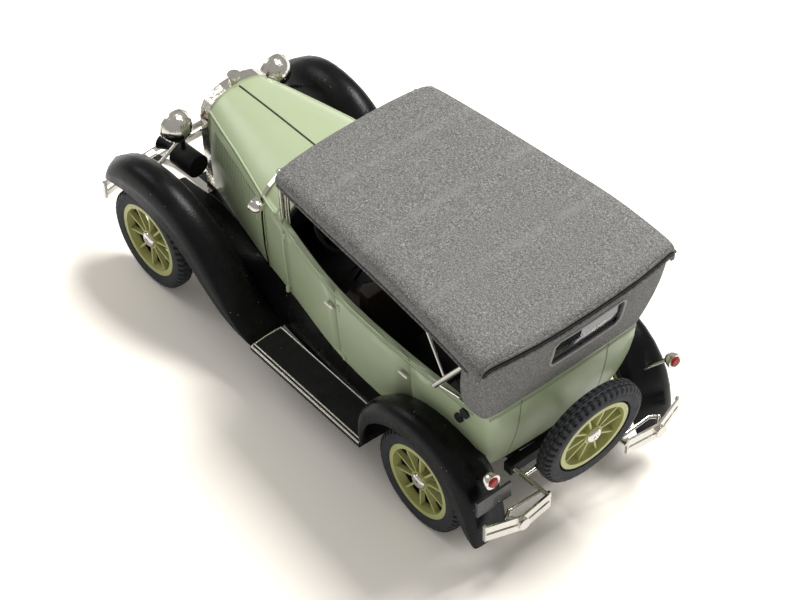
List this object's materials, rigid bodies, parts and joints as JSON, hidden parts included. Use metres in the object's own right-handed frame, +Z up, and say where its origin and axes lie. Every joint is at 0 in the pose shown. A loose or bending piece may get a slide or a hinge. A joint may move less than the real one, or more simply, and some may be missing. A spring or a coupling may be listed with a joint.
{
  "type": "scale model touring car",
  "caption": "Die-cast scale model of a four-door touring car with its textured top up, spare wheel on the back, bright bumpers and free-turning wheels.",
  "frame": {"origin": "on the ground, under the middle of the overall length and on the centre plane", "axes": "+X to the front of the car, +Y to its left, +Z up"},
  "size_m": [0.0927, 0.038, 0.0429],
  "materials": {
    "body_paint": "sage green satin paint",
    "wheel_paint": "olive yellow paint",
    "black_paint": "satin black paint",
    "black_plastic": "matt black plastic",
    "top_plastic": "grained grey brown plastic",
    "bright_metal": "bright nickel plate",
    "steel": "plain steel",
    "rubber": "tyre rubber",
    "clear": "clear plastic",
    "red_clear": "red clear plastic",
    "plate_print": "printed plate"
  },
  "bodies": {
    "car": {"chassis_frame": "black_plastic", "chassis_plate": "black_plastic", "engine_and_gearbox": "black_plastic", "exhaust": "black_plastic", "leaf_springs": "black_plastic", "front_axle": "steel", "rear_axle": "steel", "bonnet": "body_paint", "body_tub": "body_paint", "interior_lining": "black_plastic", "dashboard": "black_plastic", "front_seat": "black_plastic", "rear_seat": "black_plastic", "steering_wheel": "black_plastic", "gear_levers": "black_plastic", "radiator_shell": "bright_metal", "radiator_core": "black_plastic", "headlamps": "bright_metal", "headlamp_lenses": "clear", "headlamp_bar": "bright_metal", "horn": "black_plastic", "cowl_lamps": "bright_metal", "cowl_band": "bright_metal", "windscreen_frame": "bright_metal", "windscreen_glass": "clear", "roof": "top_plastic", "rear_curtain": "top_plastic", "rear_window_glass": "clear", "roof_irons": "bright_metal", "roof_saddles": "black_plastic", "door_handles": "bright_metal", "door_hinges": "body_paint", "front_fenders": "black_paint", "rear_fenders": "black_paint", "splash_aprons": "black_paint", "running_boards": "black_paint", "running_board_mats": "black_plastic", "front_bumper": "bright_metal", "rear_bumpers": "bright_metal", "tail_lamps": "bright_metal", "tail_lamp_lenses": "red_clear", "number_plate": "plate_print", "spare_carrier": "black_paint", "spare_wheel": "wheel_paint", "spare_tyre": "rubber"},
    "wheel_front_left": {"wheel_front_left": "wheel_paint", "tyre_front_left": "rubber"},
    "wheel_front_right": {"wheel_front_right": "wheel_paint", "tyre_front_right": "rubber"},
    "wheel_rear_left": {"wheel_rear_left": "wheel_paint", "tyre_rear_left": "rubber"},
    "wheel_rear_right": {"wheel_rear_right": "wheel_paint", "tyre_rear_right": "rubber"}
  },
  "joints": [
    {"name": "front_left_wheel_spin", "type": "hinge", "parent": "car", "child": "wheel_front_left", "pos_m": [0.03258, 0.016, 0.00825], "axis": [0, 1, 0], "continuous": true},
    {"name": "front_right_wheel_spin", "type": "hinge", "parent": "car", "child": "wheel_front_right", "pos_m": [0.03258, -0.016, 0.00825], "axis": [0, 1, 0], "continuous": true},
    {"name": "rear_left_wheel_spin", "type": "hinge", "parent": "car", "child": "wheel_rear_left", "pos_m": [-0.02852, 0.016, 0.00825], "axis": [0, 1, 0], "continuous": true},
    {"name": "rear_right_wheel_spin", "type": "hinge", "parent": "car", "child": "wheel_rear_right", "pos_m": [-0.02852, -0.016, 0.00825], "axis": [0, 1, 0], "continuous": true}
  ]
}
